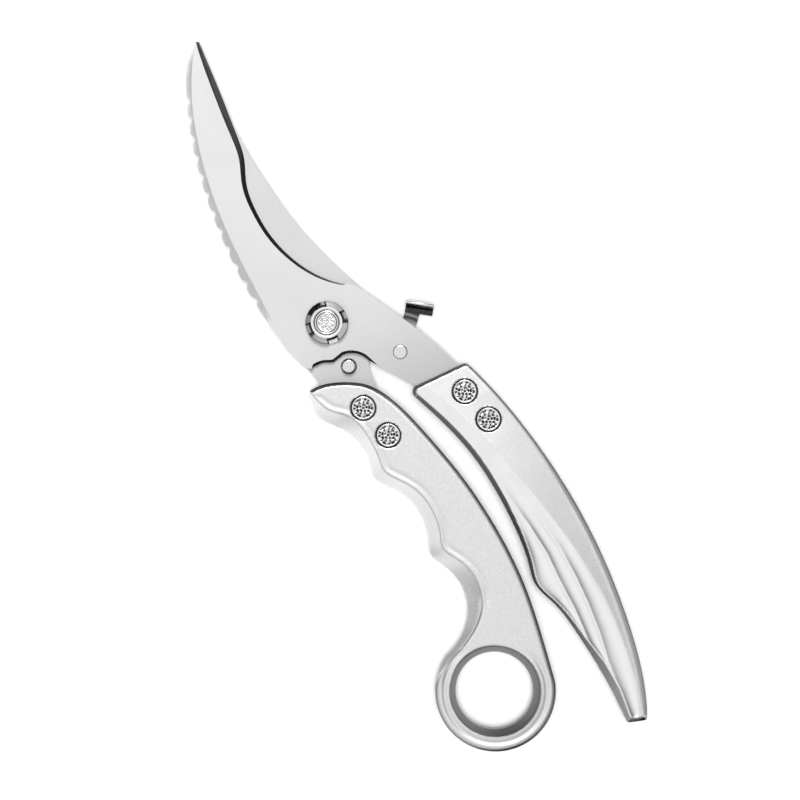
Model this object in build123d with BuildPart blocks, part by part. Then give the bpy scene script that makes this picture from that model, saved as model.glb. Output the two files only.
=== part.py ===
from build123d import *
import math
import os

# Poultry shears with a finger ring, lying flat and closed.
#
# Frame: the origin is on the pivot axis, in the plane that the shears lie on.
# +X runs to the blade tips, +Y to the finger-ring side and +Z up. Millimetres.
#
# Two stamped blades cross at the pivot and slide on each other in one plane.
# The front (upper) blade runs into the palm handle on the -Y side. The rear
# (lower) blade runs into the ring handle on the +Y side. A torsion spring in a
# pocket round the pivot opens them, a pin on the rear blade stops them, and a
# lever under the front blade hooks over the same pin to lock them shut.

# Driving dimensions
BLADE_T = 3.0
HANDLE_T = 12.0
PIVOT_R = 4.0
RUNNING_GAP = 0.05
FIT_GAP = 0.1
THROUGH = 40.0  # longer than any hole is deep
EASE = 0.3  # the usual chamfer on a small turned edge
CUTTER_REACH = 30.0  # how far a bevel's cutter goes beyond the blade or handle
BEVEL_OVER = 0.1  # share by which a cutting bevel's cutter passes its two edges
SCALER_OVER = 0.2
GROOVE_OVER = 0.08

# Heights of the blade stack
MATE_Z = HANDLE_T / 2
FRONT_TOP = MATE_Z + BLADE_T
REAR_BOTTOM = MATE_Z - BLADE_T

# Blades: points along their curves, from the tip to the hub
FRONT_EDGE = [(99.4, -9.6), (84, -7.6), (68, -5.2), (59, -3.2), (52, 0.1),
              (44, 1.7), (34, 1.7), (24, -0.6), (15, -5.0), (8.2, -11.0)]
FRONT_EDGE_TOP = [(99.7, -8.7), (84, -5.6), (68, -3.3), (59.5, -1.7), (52.5, 1.4),
                  (44, 3.0), (34, 2.9), (24, 0.5), (14.6, -4.3), (7.8, -10.7)]
FRONT_SPINE = [(99.6, -8.7), (98.3, -6.6), (94.6, -2.6), (86.5, 2.5), (76, 7.2),
               (58, 12.7), (40, 15.8), (22, 17.0), (6, 16.0)]
SCALER_LINE = [(99.3, -9.0), (96.9, -6.5), (93, -3.5), (85.5, 1.0), (75, 5.6),
               (57, 10.7), (39, 13.4), (21, 14.5), (8.6, 15.0)]
SCALER_EDGE_T = 1.5  # thickness left at the scaler's teeth
REAR_EDGE = [(99.2, -9.0), (90, -5.7), (78, -2.0), (62, 2.2), (46, 5.2),
             (30, 7.4), (18, 8.8), (10, 11.0)]
REAR_EDGE_LOW = [(99.0, -9.3), (89.5, -7.0), (77.5, -3.5), (61.5, 0.7), (45.5, 3.7),
                 (29.7, 5.9), (17.6, 7.5), (9.6, 10.2)]
REAR_SPINE = [(99.2, -9.4), (90, -8.1), (80, -6.5), (70, -5.5), (58, -5.3),
              (45, -6.0), (32, -7.5), (18, -10.7), (5, -14.8)]
TOOTH_COUNT = 12
TOOTH_FIRST = 0.118  # share of the spine's length, from its hub end
TOOTH_LAST = 0.804
NOTCH_W = 4.4  # between neighbouring teeth, at their crowns
NOTCH_DEPTH = 1.2

# Hubs and tangs
HUB_ARC_R = 12.85  # front hub, where the stop pin travels past it
RIVET_TUBE_R = 2.5
RIVET_HEAD_R = 4.0
RIVET_HEAD_T = 1.6
RIVET_PIN_R = 1.7
RIVET_PIN_SHORT = 0.5  # gap left below the pin's end, inside the tube
HEAD_DROP = 0.12  # how far the heads sit below the handle's faces
FINGER_RIVETS = [(-29.7, 3.5), (-41.3, 0.9)]
PALM_RIVETS = [(-41.4, -27.5), (-53.0, -29.6)]

# Pivot
NUT_R = 6.9
NUT_T = 2.6
NUT_LAND_R = 5.1
NUT_RIM_T = 2.0
NUT_NOTCH_COUNT = 4
NUT_NOTCH_ANGLE = 170.0
NUT_NOTCH_W = 3.8
NUT_NOTCH_FLOOR = 0.7  # above the nut's seat
WASHER_T = 0.4
WASHER_R = 6.5
BOLT_HEAD_R = 6.2
BOLT_HEAD_CHAMFER = 0.4
BOLT_DROP = 0.3  # how far the bolt's end stays below the nut's top
THREAD_GAP = 0.02
BOLT_FLAT = 3.3  # half-width of the bolt's two flats, which key it to the rear blade

# Spring pocket and spring
POCKET_INNER_R = 5.5
POCKET_OUTER_R = 8.2
POCKET_DEPTH = 1.3
WIRE_R = 0.45
COIL_R = 6.85
COIL_PITCH = 1.0
COIL_TURNS = 1.4
LEG_REACH = 1.1

# Stop pin, in the rear tang
STOP_PIN = (-15.7, 0.9)
STOP_PIN_R = 2.6
STOP_PIN_DROP = 0.2  # its top below the front blade's
STOP_PIN_CHAMFER = 0.6
CATCH_R = 2.0  # the pin's thinner lower end, which the lock hooks over
CATCH_BOTTOM = 1.2

# Lock lever: a bent sheet plate that turns on a rivet under the front tang
LOCK_AXIS = (-20.0, -15.8)
LOCK_T = 1.2
LOCK_TOP = REAR_BOTTOM - 0.2
LOCK_BOTTOM = LOCK_TOP - LOCK_T
LOCK_RIVET_R = 2.35
LOCK_HEAD_R = 3.0
LOCK_TAIL_CHAMFER = 0.25
LOCK_TOP_CHAMFER = 0.15
LOCK_BOSS_R = 4.0
LOCK_WASHER_T = 0.4
LOCK_TAIL_T = 0.8
LOCK_SWING = 10.0  # degrees from released to locked
STEM_ANGLE = -47.0
STEM_W = 4.7
PAD_ANGLE = -39.0
PAD_REACH = 15.0  # lock axis to the pad's inner face, at its foot
PAD_TOP = 9.4
PAD_LEAN = 0.12  # outward, per unit of height
PAD_SPAN = (-0.6, 8.4)  # the pad's two ends, across the stem
PAD_ROOT = 1.8  # overlap of the pad's foot and the stem
PAD_HEEL = 0.3  # how far the bend cuts in under the pad's outer face
PAD_EDGE_R = 0.5
HOOK_GAP = 0.2
HOOK_W = 2.4
HOOK_REACH = 2.6  # how far the hook's finger passes the line of the pin's near side
LOCK_CORNER_R = 0.6

# Handles
RING_CENTRE = (-129.8, 12.5)
RING_BODY_CENTRE = (-130.0, 12.25)
RING_OUTER_R = 19.4
RING_HOLE_R = 12.5
RING_LAND = 4.0  # length of the hole's straight wall
RING_RIM_R = 14.6
EDGE_R = 1.0
GROOVE_FOOT_Z = 7.0
GROOVE_FOOT = [(-119.5, 29.6), (-113.6, 24.0), (-110.4, 16.5), (-105.8, 8.7), (-99, 5.3),
               (-92.5, 5.0), (-86, 6.9), (-81.5, 8.8), (-77, 6.8), (-70, 4.9), (-63, 5.4),
               (-56, 9.0), (-51, 11.8), (-46.5, 10.6), (-40.5, 9.9), (-34, 11.6),
               (-29, 15.3), (-25.6, 17.4), (-20.5, 17.6), (-15, 16.4)]
GROOVE_TOP = [(-119.3, 28.9), (-115.6, 23.0), (-112.8, 15.6), (-107.6, 5.8), (-100, 0.2),
              (-92, -0.3), (-86, 2.1), (-81.5, 3.8), (-77, 2.2), (-70, 0.8), (-62.5, 1.5),
              (-54.5, 5.8), (-50.5, 7.8), (-46.5, 7.3), (-40.5, 6.8), (-33.5, 7.3),
              (-29.2, 9.2), (-25.6, 12.8), (-20.5, 15.2), (-15, 16.0)]
GRIP_UNDER = [(-16.3, 15.9), (-16.6, 11.6), (-19.1, 5.3), (-23.7, -1.1), (-31.3, -5.6),
              (-46, -9.65), (-65, -13.0), (-85, -14.2), (-105, -12.95), (-122, -9.6)]
GRIP_FINGERS = [(-110.2, 14.4), (-105.3, 8.6), (-99, 5.5), (-92.5, 5.1), (-86, 7.0),
                (-81.5, 8.5), (-77, 6.7), (-70, 4.9), (-63, 5.4), (-56, 9.0),
                (-51, 11.8), (-46.5, 10.7), (-40.5, 10.1), (-34, 11.9), (-29, 15.4),
                (-25.6, 17.4), (-21, 17.1)]
RING_LOW_ANGLE = 250.0
RING_HIGH_ANGLE = 25.0
PALM_UPPER = [(-31.7, -11.6), (-45, -15.9), (-57, -18.8), (-70, -20.1), (-83, -19.9),
              (-94, -18.8), (-101, -17.3), (-106.3, -16.1), (-114, -17.9), (-128, -19.9),
              (-143, -20.4), (-160, -19.4)]
PALM_LOWER = [(-162.4, -25.4), (-150, -31.1), (-135, -35.3), (-115, -38.8), (-92, -40.4),
              (-68, -39.3), (-48, -36.3), (-33.4, -32.6)]
PALM_CORNER_R = 2.2
PALM_END_R = 0.9

os.makedirs("parts", exist_ok=True)


def save(built, name):
    """Labels a finished piece and writes its STEP file."""
    built.part.label = name
    export_step(built.part, f"parts/{name}.step")


def polar(radius, degrees, centre=(0.0, 0.0)):
    """A point at that radius and angle from centre."""
    angle = math.radians(degrees)
    return (centre[0] + radius * math.cos(angle), centre[1] + radius * math.sin(angle))


def bevel_cutter(low_points, low_z, high_points, high_z, reach):
    """A solid on the outer side of two curves at two heights, which cuts a bevel between them."""
    with BuildPart() as cutter:
        for points, z in ((low_points, low_z), (high_points, high_z)):
            with BuildSketch(Plane.XY.offset(z)):
                with BuildLine():
                    curve = Spline(*points)
                    ends = [points[-1], points[0]]
                    far = [(x, y + reach) for x, y in ends]
                    Polyline(ends[0], far[0], far[1], ends[1])
                make_face()
        loft(ruled=True)
    return cutter.part


def extend(points_near, points_far, share):
    """Carries each far point on past its near point's line by that share of the gap between them."""
    return [
        (fx + (fx - nx) * share, fy + (fy - ny) * share)
        for (nx, ny), (fx, fy) in zip(points_near, points_far)
    ]


def front_tang():
    """The front blade's tang inside the palm handle, as polyline points."""
    return [(-33, -29.8), (-42, -32.0), (-58, -33.4), (-60, -32), (-60, -27), (-58, -25.6),
            (-38, -21.5), (-32.2, -14.9)]


def rear_tang():
    """The rear blade's tang inside the ring handle, as polyline points."""
    return [(-17.4, 12.1), (-22, 10.8), (-50, 5.0), (-52, 3.5), (-52, -3.4), (-50, -5.0),
            (-30, -2.2), (-24.4, -3.8)]


# ---------------------------------------------------------------- front blade
NUT_SEAT = FRONT_TOP + WASHER_T
with BuildSketch() as tooth_gap:
    with BuildLine():
        scoop = Spline((-NOTCH_W / 2, 0.2), (-0.3 * NOTCH_W, -0.25 * NOTCH_DEPTH),
                       (0, -NOTCH_DEPTH), (0.3 * NOTCH_W, -0.25 * NOTCH_DEPTH),
                       (NOTCH_W / 2, 0.2))
        Line(scoop @ 1, scoop @ 0)
    make_face()
with BuildPart() as front_blade:
    with BuildSketch(Plane.XY.offset(MATE_Z)):
        with BuildLine():
            cutting = Spline(*FRONT_EDGE)
            heel = ThreePointArc(FRONT_EDGE[-1], (6.7, -13.2), (3.4, -15.2))
            under = Spline(heel @ 1, (-4, -18.7), (-12, -22.4), (-20, -25.7), front_tang()[0])
            Polyline(*front_tang())
            Line(front_tang()[-1], (-17.2, -5.6))
            dip = ThreePointArc((-17.2, -5.6), (-13.0, -2.9), (-11.5, 0.6))
            Line(dip @ 1, polar(HUB_ARC_R, 160))
            past = CenterArc((0, 0), HUB_ARC_R, 160, -13)
            lip = Spline(past @ 1, (-10.25, 9.0), (-10.3, 11.3))
            shoulder = Spline(lip @ 1, (-9.9, 12.5), (-8.6, 13.2), (-4.5, 14.6), (0, 15.5),
                              FRONT_SPINE[-1])
            spine = Spline(*reversed(FRONT_SPINE))
            Line(spine @ 1, cutting @ 0)
        make_face()
    extrude(amount=BLADE_T)
    with BuildSketch(Plane.XY.offset(MATE_Z)):
        for tooth in range(TOOTH_COUNT):
            share = TOOTH_FIRST + (TOOTH_LAST - TOOTH_FIRST) * tooth / (TOOTH_COUNT - 1)
            spot = spine.position_at(share)
            slope = spine.tangent_angle_at(share)
            with Locations(Location((spot.X, spot.Y, 0), (0, 0, slope))):
                add(tooth_gap.sketch)
    extrude(amount=BLADE_T, mode=Mode.SUBTRACT)
    # The cutting bevel, and the thinner band along the spine that carries the teeth
    edge_over = BEVEL_OVER * BLADE_T
    add(bevel_cutter(extend(FRONT_EDGE_TOP, FRONT_EDGE, BEVEL_OVER), MATE_Z - edge_over,
                     extend(FRONT_EDGE, FRONT_EDGE_TOP, BEVEL_OVER), FRONT_TOP + edge_over,
                     -CUTTER_REACH),
        mode=Mode.SUBTRACT)
    add(bevel_cutter(FRONT_SPINE, MATE_Z + SCALER_EDGE_T,
                     extend(FRONT_SPINE, SCALER_LINE, SCALER_OVER),
                     FRONT_TOP + SCALER_OVER * (BLADE_T - SCALER_EDGE_T), CUTTER_REACH),
        mode=Mode.SUBTRACT)
    with BuildSketch(Plane.XY.offset(MATE_Z)):
        Circle(PIVOT_R + RUNNING_GAP)
        with Locations(*PALM_RIVETS):
            Circle(RIVET_TUBE_R + FIT_GAP)
        with Locations(LOCK_AXIS):
            Circle(LOCK_RIVET_R)
    extrude(amount=BLADE_T, mode=Mode.SUBTRACT)

# ----------------------------------------------------------------- rear blade
with BuildPart() as rear_blade:
    with BuildSketch(Plane.XY.offset(REAR_BOTTOM)):
        with BuildLine():
            cutting = Spline(*REAR_EDGE)
            crown = Spline(cutting @ 1, (4.5, 13.6), (-2.5, 14.5), (-9.3, 13.0), rear_tang()[0])
            Polyline(*rear_tang())
            below = Spline(rear_tang()[-1], (-17.5, -5.5), (-12.0, -9.9), (-6.0, -13.5),
                           (0, -15.3), REAR_SPINE[-1])
            spine = Spline(*reversed(REAR_SPINE))
            Line(spine @ 1, cutting @ 0)
        make_face()
    extrude(amount=BLADE_T)
    add(bevel_cutter(extend(REAR_EDGE, REAR_EDGE_LOW, BEVEL_OVER), REAR_BOTTOM - edge_over,
                     extend(REAR_EDGE_LOW, REAR_EDGE, BEVEL_OVER), MATE_Z + edge_over,
                     CUTTER_REACH),
        mode=Mode.SUBTRACT)
    with BuildSketch(Plane.XY.offset(REAR_BOTTOM)):
        Circle(PIVOT_R + FIT_GAP)
        Rectangle(2 * (BOLT_FLAT + FIT_GAP), 3 * PIVOT_R, mode=Mode.INTERSECT)
        with Locations(*FINGER_RIVETS):
            Circle(RIVET_TUBE_R + FIT_GAP)
        with Locations(STOP_PIN):
            Circle(STOP_PIN_R)
    extrude(amount=BLADE_T, mode=Mode.SUBTRACT)

# Each blade's half of the spring pocket, with a slot for the spring's leg
LEG_LOW_ANGLE = 250.0
LEG_HIGH_ANGLE = LEG_LOW_ANGLE + 360 * (COIL_TURNS - 1)
LEG_END_R = POCKET_OUTER_R + LEG_REACH
LEG_SLOT_W = 2 * WIRE_R + 0.3


def spring_pocket(level, leg_angle):
    """The ring-shaped pocket for the spring, with a slot for its leg at that angle."""
    with BuildPart() as pocket:
        with BuildSketch(Plane.XY.offset(level)):
            with Locations(Rot(0, 0, leg_angle)):
                SlotCenterToCenter(2 * (LEG_END_R - WIRE_R), LEG_SLOT_W)
                with Locations((-LEG_END_R, 0)):
                    Rectangle(2 * LEG_END_R, 2 * LEG_END_R, mode=Mode.SUBTRACT)
            Circle(POCKET_OUTER_R)
            Circle(POCKET_INNER_R, mode=Mode.SUBTRACT)
        extrude(amount=POCKET_DEPTH)
    return pocket.part


with rear_blade:
    add(spring_pocket(MATE_Z - POCKET_DEPTH, LEG_LOW_ANGLE), mode=Mode.SUBTRACT)
with front_blade:
    add(spring_pocket(MATE_Z, LEG_HIGH_ANGLE), mode=Mode.SUBTRACT)
save(rear_blade, "rear_blade")
save(front_blade, "front_blade")

# ---------------------------------------------------------------- ring handle
with BuildPart() as ring_handle:
    with BuildSketch():
        with BuildLine():
            under = Spline(*GRIP_UNDER, polar(RING_OUTER_R, RING_LOW_ANGLE, RING_BODY_CENTRE))
            ring = CenterArc(RING_BODY_CENTRE, RING_OUTER_R, RING_LOW_ANGLE,
                             RING_HIGH_ANGLE - RING_LOW_ANGLE)
            fingers = Spline(ring @ 1, *GRIP_FINGERS)
            ThreePointArc(fingers @ 1, (-18.3, 16.7), under @ 0)
        make_face()
    extrude(amount=HANDLE_T)
    fillet(ring_handle.faces().group_by(Axis.Z)[0].edges(), EDGE_R)
    fillet(ring_handle.faces().group_by(Axis.Z)[-1].edges(), EDGE_R)
    groove_over = GROOVE_OVER * (HANDLE_T - GROOVE_FOOT_Z)
    groove = bevel_cutter(extend(GROOVE_TOP, GROOVE_FOOT, GROOVE_OVER),
                          GROOVE_FOOT_Z - groove_over,
                          extend(GROOVE_FOOT, GROOVE_TOP, GROOVE_OVER),
                          HANDLE_T + groove_over, CUTTER_REACH)
    add(groove, mode=Mode.SUBTRACT)
    add(mirror(groove, about=Plane.XY.offset(HANDLE_T / 2)), mode=Mode.SUBTRACT)
    with Locations((RING_CENTRE[0], RING_CENTRE[1], HANDLE_T / 2)):
        Cylinder(RING_HOLE_R, HANDLE_T, mode=Mode.SUBTRACT)
    taper = (HANDLE_T - RING_LAND) / 2
    with Locations((RING_CENTRE[0], RING_CENTRE[1], HANDLE_T - taper / 2)):
        Cone(RING_HOLE_R, RING_RIM_R, taper, mode=Mode.SUBTRACT)
    with Locations((RING_CENTRE[0], RING_CENTRE[1], taper / 2)):
        Cone(RING_RIM_R, RING_HOLE_R, taper, mode=Mode.SUBTRACT)
    # The slot for the rear blade's tang, open at the handle's front edge
    with BuildSketch(Plane.XY.offset(REAR_BOTTOM)):
        with BuildLine():
            Polyline((-10, 12.4), *rear_tang(), (-10, -5.5), close=True)
        make_face()
        offset(amount=FIT_GAP, kind=Kind.INTERSECTION)
    extrude(amount=BLADE_T, mode=Mode.SUBTRACT)
    with Locations(*[(x, y, HANDLE_T / 2) for x, y in FINGER_RIVETS]):
        Cylinder(RIVET_TUBE_R + FIT_GAP, THROUGH, mode=Mode.SUBTRACT)
    for level in (RIVET_HEAD_T / 2, HANDLE_T - RIVET_HEAD_T / 2):
        with Locations(*[(x, y, level) for x, y in FINGER_RIVETS]):
            Cylinder(RIVET_HEAD_R + FIT_GAP, RIVET_HEAD_T, mode=Mode.SUBTRACT)
save(ring_handle, "ring_handle")

# ---------------------------------------------------------------- palm handle
with BuildPart() as palm_handle:
    with BuildSketch():
        with BuildLine():
            upper = Spline(*PALM_UPPER)
            lower = Spline(*PALM_LOWER)
            Line(upper @ 1, lower @ 0)
            Line(lower @ 1, upper @ 0)
        make_face()
    extrude(amount=HANDLE_T)
    upright = palm_handle.edges().filter_by(Axis.Z).sort_by(Axis.X)
    fillet(upright[-2:], PALM_CORNER_R)
    fillet(palm_handle.edges().filter_by(Axis.Z).sort_by(Axis.X)[:2], PALM_END_R)
    fillet(palm_handle.faces().group_by(Axis.Z)[0].edges(), EDGE_R)
    fillet(palm_handle.faces().group_by(Axis.Z)[-1].edges(), EDGE_R)
    with BuildSketch(Plane.XY.offset(MATE_Z)):
        with BuildLine():
            Polyline((-20, -27.5), *front_tang(), (-20, -9), close=True)
        make_face()
        offset(amount=FIT_GAP, kind=Kind.INTERSECTION)
    extrude(amount=BLADE_T, mode=Mode.SUBTRACT)
    with Locations(*[(x, y, HANDLE_T / 2) for x, y in PALM_RIVETS]):
        Cylinder(RIVET_TUBE_R + FIT_GAP, THROUGH, mode=Mode.SUBTRACT)
    for level in (RIVET_HEAD_T / 2, HANDLE_T - RIVET_HEAD_T / 2):
        with Locations(*[(x, y, level) for x, y in PALM_RIVETS]):
            Cylinder(RIVET_HEAD_R + FIT_GAP, RIVET_HEAD_T, mode=Mode.SUBTRACT)
save(palm_handle, "palm_handle")

# -------------------------------------------------------------- handle rivets
# Each is two pieces: a tube with a head below, and a pin with a head above
for side, spots in (("ring", FINGER_RIVETS), ("palm", PALM_RIVETS)):
    for place, (x, y) in zip(("front", "rear"), spots):
        with BuildPart() as socket:
            with Locations((x, y, HEAD_DROP)):
                Cylinder(RIVET_HEAD_R, RIVET_HEAD_T - HEAD_DROP,
                         align=(Align.CENTER, Align.CENTER, Align.MIN))
            chamfer(socket.edges().group_by(Axis.Z)[0], EASE)
            with Locations((x, y, RIVET_HEAD_T)):
                Cylinder(RIVET_TUBE_R, HANDLE_T - 2 * RIVET_HEAD_T,
                         align=(Align.CENTER, Align.CENTER, Align.MIN))
            with Locations((x, y, RIVET_HEAD_T)):
                Cylinder(RIVET_PIN_R, HANDLE_T,
                         align=(Align.CENTER, Align.CENTER, Align.MIN), mode=Mode.SUBTRACT)
        save(socket, f"{side}_rivet_{place}_socket")
        with BuildPart() as stud:
            with Locations((x, y, HANDLE_T - RIVET_HEAD_T)):
                Cylinder(RIVET_HEAD_R, RIVET_HEAD_T - HEAD_DROP,
                         align=(Align.CENTER, Align.CENTER, Align.MIN))
            chamfer(stud.edges().group_by(Axis.Z)[-1], EASE)
            with Locations((x, y, HANDLE_T - RIVET_HEAD_T)):
                Cylinder(RIVET_PIN_R, HANDLE_T - 2 * RIVET_HEAD_T - RIVET_PIN_SHORT,
                         align=(Align.CENTER, Align.CENTER, Align.MAX))
        save(stud, f"{side}_rivet_{place}_stud")

# ---------------------------------------------------------------------- pivot
with BuildPart() as pivot_bolt:
    Cylinder(BOLT_HEAD_R, REAR_BOTTOM, align=(Align.CENTER, Align.CENTER, Align.MIN))
    chamfer(pivot_bolt.edges().group_by(Axis.Z)[0], BOLT_HEAD_CHAMFER)
    with BuildSketch(Plane.XY.offset(REAR_BOTTOM)):
        Circle(PIVOT_R)
        Rectangle(2 * BOLT_FLAT, 3 * PIVOT_R, mode=Mode.INTERSECT)
    extrude(amount=BLADE_T)
    with BuildSketch(Plane.XY.offset(MATE_Z)):
        Circle(PIVOT_R)
    extrude(amount=NUT_SEAT + NUT_T - BOLT_DROP - MATE_Z)
    chamfer(pivot_bolt.edges().group_by(Axis.Z)[-1], EASE)
save(pivot_bolt, "pivot_bolt")

with BuildPart() as pivot_washer:
    with BuildSketch(Plane.XY.offset(FRONT_TOP)):
        Circle(WASHER_R)
        Circle(PIVOT_R + RUNNING_GAP, mode=Mode.SUBTRACT)
    extrude(amount=WASHER_T)
save(pivot_washer, "pivot_washer")

with BuildPart() as pivot_nut:
    with BuildSketch(Plane.XZ):
        with BuildLine():
            Polyline((PIVOT_R + THREAD_GAP, NUT_SEAT), (NUT_R, NUT_SEAT),
                     (NUT_R, NUT_SEAT + NUT_RIM_T), (NUT_LAND_R, NUT_SEAT + NUT_T),
                     (PIVOT_R + EASE, NUT_SEAT + NUT_T),
                     (PIVOT_R + THREAD_GAP, NUT_SEAT + NUT_T - EASE), close=True)
        make_face()
    revolve(axis=Axis.Z)
    # Square notches in the bevelled rim take a pin spanner
    with PolarLocations(NUT_R, NUT_NOTCH_COUNT, start_angle=NUT_NOTCH_ANGLE):
        with Locations((0, 0, NUT_SEAT + NUT_T)):
            Box(2 * (NUT_R - NUT_LAND_R - 0.1), NUT_NOTCH_W, 2 * (NUT_T - NUT_NOTCH_FLOOR),
                mode=Mode.SUBTRACT)
save(pivot_nut, "pivot_nut")

with BuildPart() as torsion_spring:
    coil_low = MATE_Z - POCKET_DEPTH + WIRE_R + 0.1
    coil_height = COIL_PITCH * COIL_TURNS
    with BuildLine(Plane.XY.offset(coil_low)):
        coil = Helix(COIL_PITCH, coil_height, COIL_R)
    with BuildSketch(Plane(coil @ 0, z_dir=coil % 0)):
        Circle(WIRE_R)
    sweep(is_frenet=True)
    for angle, height in ((0, coil_low), (360 * COIL_TURNS, coil_low + coil_height)):
        bend = Vector(COIL_R, 0, height).rotate(Axis.Z, angle)
        with Locations(bend):
            Sphere(WIRE_R)
        with Locations(Plane(bend, z_dir=Vector(bend.X, bend.Y, 0).normalized())):
            Cylinder(WIRE_R, LEG_END_R - COIL_R,
                     align=(Align.CENTER, Align.CENTER, Align.MIN))
torsion_spring.part = torsion_spring.part.rotate(Axis.Z, LEG_LOW_ANGLE)
save(torsion_spring, "torsion_spring")

# ------------------------------------------------------------------- stop pin
with BuildPart() as stop_pin:
    with Locations((*STOP_PIN, CATCH_BOTTOM)):
        Cylinder(CATCH_R, MATE_Z - CATCH_BOTTOM, align=(Align.CENTER, Align.CENTER, Align.MIN))
    chamfer(stop_pin.edges().group_by(Axis.Z)[0], EASE)
    with Locations((*STOP_PIN, REAR_BOTTOM)):
        Cylinder(STOP_PIN_R, FRONT_TOP - STOP_PIN_DROP - REAR_BOTTOM,
                 align=(Align.CENTER, Align.CENTER, Align.MIN))
    chamfer(stop_pin.edges().group_by(Axis.Z)[-1], STOP_PIN_CHAMFER)
save(stop_pin, "stop_pin")

# ------------------------------------------------------------------ lock lever
lock_turn = math.radians(-LOCK_SWING)
lock_plane = Plane(origin=(*LOCK_AXIS, LOCK_BOTTOM),
                   x_dir=(math.cos(lock_turn), math.sin(lock_turn), 0), z_dir=(0, 0, 1))
pin_x = STOP_PIN[0] - LOCK_AXIS[0]
pin_y = STOP_PIN[1] - LOCK_AXIS[1]
arm_x = pin_x + CATCH_R + 2 * HOOK_GAP
finger_y = pin_y + CATCH_R + HOOK_GAP
tip_x = pin_x + CATCH_R - HOOK_REACH
with BuildPart() as lock_lever:
    # The hook is drawn round the stop pin as it stands when locked, then swung back
    with BuildSketch(lock_plane) as hook:
        Polygon((tip_x, finger_y), (arm_x, finger_y), (arm_x, pin_y - 4), (-3.2, 2.4), (3.4, 0.5),
                (arm_x + HOOK_W, pin_y - 5), (arm_x + HOOK_W, finger_y + HOOK_W - 0.2),
                (tip_x, finger_y + HOOK_W - 0.2), align=None)
        fillet(hook.vertices(), LOCK_CORNER_R)
    extrude(amount=LOCK_T)
    with BuildSketch(Plane.XY.offset(LOCK_BOTTOM)):
        with Locations(LOCK_AXIS):
            Circle(LOCK_BOSS_R)
            with Locations(Rot(0, 0, STEM_ANGLE)):
                Rectangle(PAD_REACH, STEM_W, align=(Align.MIN, Align.CENTER))
    extrude(amount=LOCK_T)
    pad_turn = math.radians(PAD_ANGLE)
    pad_plane = Plane(origin=(*LOCK_AXIS, 0),
                      x_dir=(math.cos(pad_turn), math.sin(pad_turn), 0),
                      z_dir=(math.sin(pad_turn), -math.cos(pad_turn), 0))
    pad_shift = PAD_LEAN * (PAD_TOP - LOCK_TOP)
    with BuildSketch(pad_plane.offset(PAD_SPAN[0])) as pad:
        Polygon((PAD_REACH - PAD_ROOT, LOCK_BOTTOM), (PAD_REACH + LOCK_T - PAD_HEEL, LOCK_BOTTOM),
                (PAD_REACH + pad_shift + LOCK_T, PAD_TOP), (PAD_REACH + pad_shift, PAD_TOP),
                (PAD_REACH, LOCK_TOP), (PAD_REACH - PAD_ROOT, LOCK_TOP), align=None)
        fillet(pad.vertices().sort_by_distance((*LOCK_AXIS, 0))[2:], PAD_EDGE_R)
    extrude(amount=PAD_SPAN[1] - PAD_SPAN[0])
    with Locations((*LOCK_AXIS, LOCK_BOTTOM)):
        Cylinder(LOCK_RIVET_R + RUNNING_GAP, THROUGH, mode=Mode.SUBTRACT)
save(lock_lever, "lock_lever")

with BuildPart() as lock_rivet:
    with Locations((*LOCK_AXIS, LOCK_BOTTOM - LOCK_TAIL_T)):
        Cylinder(LOCK_HEAD_R, LOCK_TAIL_T, align=(Align.CENTER, Align.CENTER, Align.MIN))
    chamfer(lock_rivet.edges().group_by(Axis.Z)[0], LOCK_TAIL_CHAMFER)
    with Locations((*LOCK_AXIS, LOCK_BOTTOM)):
        Cylinder(LOCK_RIVET_R, FRONT_TOP - LOCK_BOTTOM,
                 align=(Align.CENTER, Align.CENTER, Align.MIN))
    chamfer(lock_rivet.edges().group_by(Axis.Z)[-1], LOCK_TOP_CHAMFER)
save(lock_rivet, "lock_rivet")

for name, low, high, radius in (
    ("lock_washer", LOCK_TOP, LOCK_TOP + LOCK_WASHER_T, LOCK_BOSS_R - 0.2),
    ("lock_spacer", LOCK_TOP + LOCK_WASHER_T, MATE_Z, LOCK_BOSS_R - 0.8),
):
    with BuildPart() as ring_piece:
        with BuildSketch(Plane.XY.offset(low)):
            with Locations(LOCK_AXIS):
                Circle(radius)
                Circle(LOCK_RIVET_R + RUNNING_GAP, mode=Mode.SUBTRACT)
        extrude(amount=high - low)
    save(ring_piece, name)
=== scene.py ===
import math

import bmesh
import bpy
import numpy as np
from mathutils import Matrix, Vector
from mathutils.kdtree import KDTree


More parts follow.
